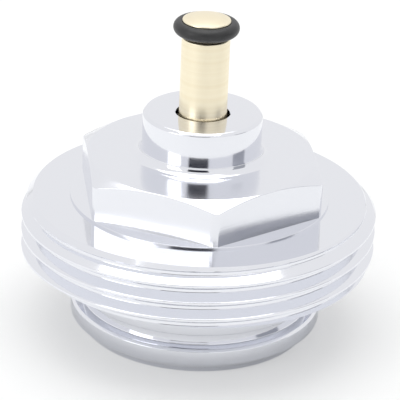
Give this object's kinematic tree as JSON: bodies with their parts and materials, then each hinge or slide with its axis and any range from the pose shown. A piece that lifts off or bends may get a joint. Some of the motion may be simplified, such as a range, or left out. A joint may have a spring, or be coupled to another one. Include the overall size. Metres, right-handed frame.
{
  "type": "radiator valve adapter",
  "caption": "Plated brass adapter for a radiator valve: threaded flange for the thermostat head, spanner hexagon, grooved spigot and a sliding push pin with an O-ring.",
  "frame": {"origin": "on the axis, in the plane of the lower end face that the adapter stands on", "axes": "+Z along the axis, from the spigot towards the push pin's domed end; one corner of the hexagon points 7.8 degrees from -Y towards +X"},
  "size_m": [0.0298, 0.0298, 0.0277],
  "materials": {
    "plating": "bright plated, machined",
    "pin_brass": "turned, satin",
    "ring_rubber": "matt"
  },
  "bodies": {
    "adapter": {"adapter_body": "plating"},
    "pin": {"push_pin": "pin_brass", "pin_o_ring": "ring_rubber"}
  },
  "joints": [
    {"name": "pin_slide", "type": "slide", "parent": "adapter", "child": "pin", "axis": [0, 0, 1], "range_m": [-0.0068, 0.0049]}
  ]
}
